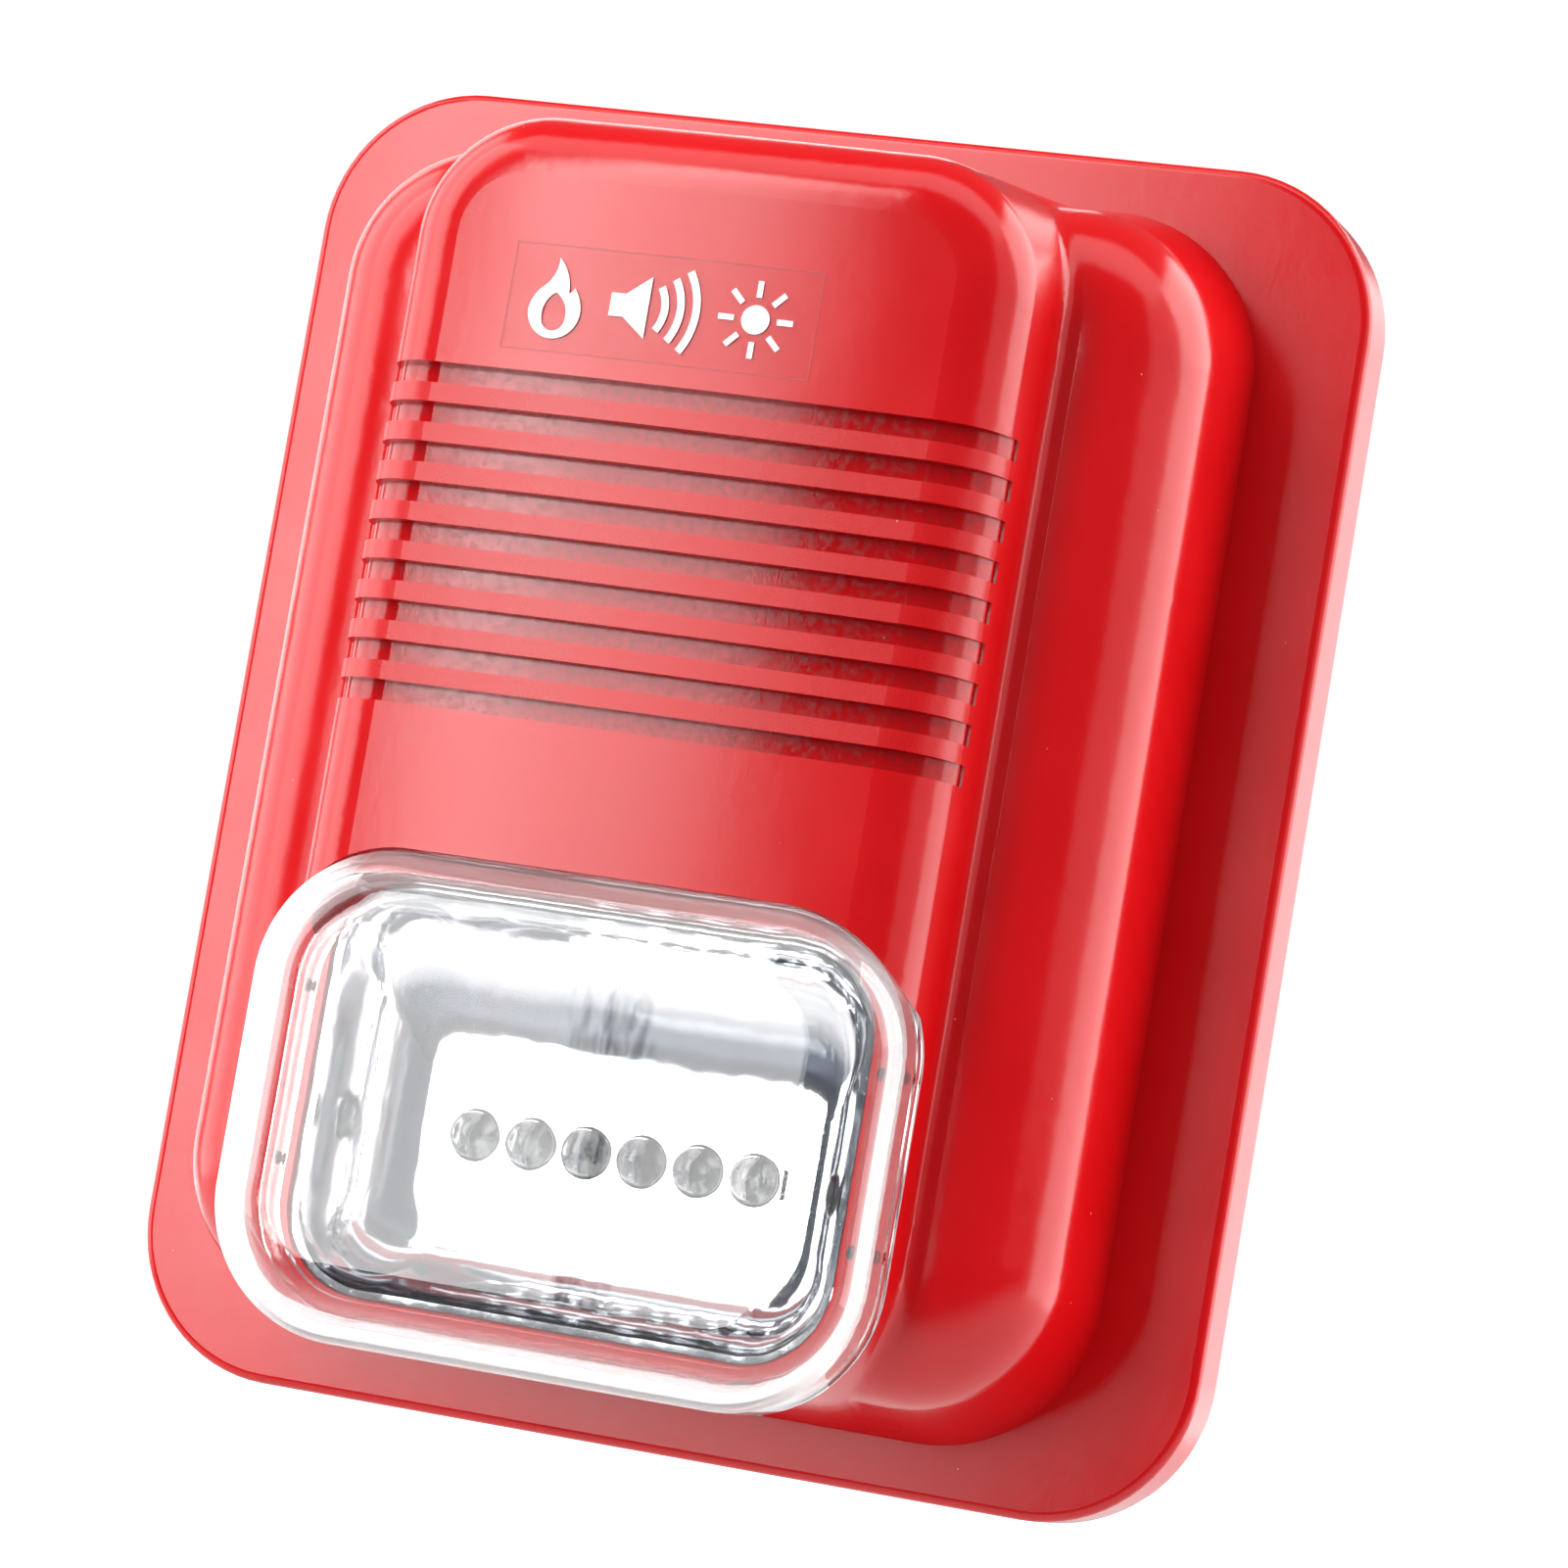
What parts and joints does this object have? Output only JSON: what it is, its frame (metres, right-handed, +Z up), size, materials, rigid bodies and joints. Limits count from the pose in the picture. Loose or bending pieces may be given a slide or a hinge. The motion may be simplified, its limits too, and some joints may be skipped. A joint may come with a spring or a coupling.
{
  "type": "horn strobe",
  "caption": "Wall alarm sounder and flashing beacon: ribbed pull-off cover, clear lens over a bright dish, base plate that screws to a wall or box.",
  "frame": {"origin": "centre of the base plate's back face, on the wall", "axes": "+Z up, +X to the right seen from the front, the front faces -Y and the wall is the plane y = 0"},
  "size_m": [0.12, 0.0526, 0.1436],
  "materials": {
    "red_housing": "satin moulded, fine texture",
    "clear_lens": "clear polycarbonate",
    "mirror_dish": "vacuum-metallised",
    "clear_epoxy": "clear epoxy",
    "clear_film": "clear film",
    "white_print": "screen print",
    "black_plastic": "moulded",
    "brass_sheet": "rolled",
    "ceramic_white": "silvered piezo ceramic",
    "grey_foam": "closed-cell foam",
    "board_green": "solder resist",
    "tinned_metal": "tin plated",
    "zinc_screw": "zinc plated",
    "copper_wire": "enamelled copper",
    "ferrite": "sintered ferrite",
    "resistor_body": "lacquered, tinned leads",
    "diode_body": "moulded epoxy, tinned leads",
    "capacitor_sleeve": "shrink sleeve",
    "chip_black": "moulded epoxy, tinned feet",
    "selector_blue": "moulded",
    "lever_white": "moulded",
    "terminal_green": "moulded",
    "wire_red": "PVC",
    "wire_black": "PVC",
    "black_rubber": "moulded"
  },
  "bodies": {
    "base": {"base_plate": "red_housing", "led_lamps": "clear_epoxy", "led_leads": "tinned_metal", "lamp_board": "board_green", "main_board": "board_green", "lamp_board_screws": "zinc_screw", "board_screws": "zinc_screw", "sounder_screws": "zinc_screw", "sounder_cup": "black_plastic", "sounder_cap": "black_plastic", "foam_ring": "grey_foam", "resistors": "resistor_body", "diodes": "diode_body", "storage_capacitor": "capacitor_sleeve", "coil_core": "ferrite", "coil_winding": "copper_wire", "power_transistor": "chip_black", "controller_chip": "chip_black", "selector_body": "selector_blue", "terminal_block": "terminal_green", "contact_bars": "tinned_metal", "supply_wire_red": "wire_red", "supply_wire_black": "wire_black", "lamp_wires": "wire_red", "sounder_wires": "wire_black", "cable_grommet": "black_rubber"},
    "cover": {"front_cover": "red_housing", "strobe_lens": "clear_lens", "reflector": "mirror_dish", "reflector_screws": "zinc_screw", "label_film": "clear_film", "label_mark": "white_print"},
    "lock_screw": {"lock_screw": "zinc_screw"},
    "terminal_screw_left": {"terminal_screw_left": "zinc_screw"},
    "terminal_screw_right": {"terminal_screw_right": "zinc_screw"},
    "wire_clamp_left": {"wire_clamp_left": "zinc_screw"},
    "wire_clamp_right": {"wire_clamp_right": "zinc_screw"},
    "selector_lever_one": {"selector_lever_one": "lever_white"},
    "selector_lever_two": {"selector_lever_two": "lever_white"},
    "diaphragm": {"brass_diaphragm": "brass_sheet", "piezo_disc": "ceramic_white"}
  },
  "joints": [
    {"name": "cover_lift_off", "type": "slide", "parent": "base", "child": "cover", "axis": [0, -1, 0], "range_m": [0, 0.06]},
    {"name": "lock_screw_travel", "type": "slide", "parent": "base", "child": "lock_screw", "axis": [0, 0, -1], "range_m": [0, 0.0015]},
    {"name": "terminal_screw_left_turn", "type": "hinge", "parent": "base", "child": "terminal_screw_left", "pos_m": [-0.00375, -0.012, -0.022], "axis": [0, 1, 0], "range_deg": [0, 864]},
    {"name": "wire_clamp_left_rise", "type": "slide", "parent": "base", "child": "wire_clamp_left", "axis": [0, -1, 0], "range_m": [0, 0.0012]},
    {"name": "terminal_screw_right_turn", "type": "hinge", "parent": "base", "child": "terminal_screw_right", "pos_m": [0.00375, -0.012, -0.022], "axis": [0, 1, 0], "range_deg": [0, 864]},
    {"name": "wire_clamp_right_rise", "type": "slide", "parent": "base", "child": "wire_clamp_right", "axis": [0, -1, 0], "range_m": [0, 0.0012]},
    {"name": "selector_lever_one_slide", "type": "slide", "parent": "base", "child": "selector_lever_one", "axis": [0, 0, 1], "range_m": [0, 0.0012]},
    {"name": "selector_lever_two_slide", "type": "slide", "parent": "base", "child": "selector_lever_two", "axis": [0, 0, 1], "range_m": [0, 0.0012]},
    {"name": "diaphragm_vibration", "type": "slide", "parent": "base", "child": "diaphragm", "axis": [0, -1, 0], "range_m": [-0.0002, 0.0002]}
  ],
  "couplings": [
    {"joint": "terminal_screw_left_turn", "follows": "wire_clamp_left_rise", "rad_per_m": 12566},
    {"joint": "terminal_screw_right_turn", "follows": "wire_clamp_right_rise", "rad_per_m": 12566}
  ]
}
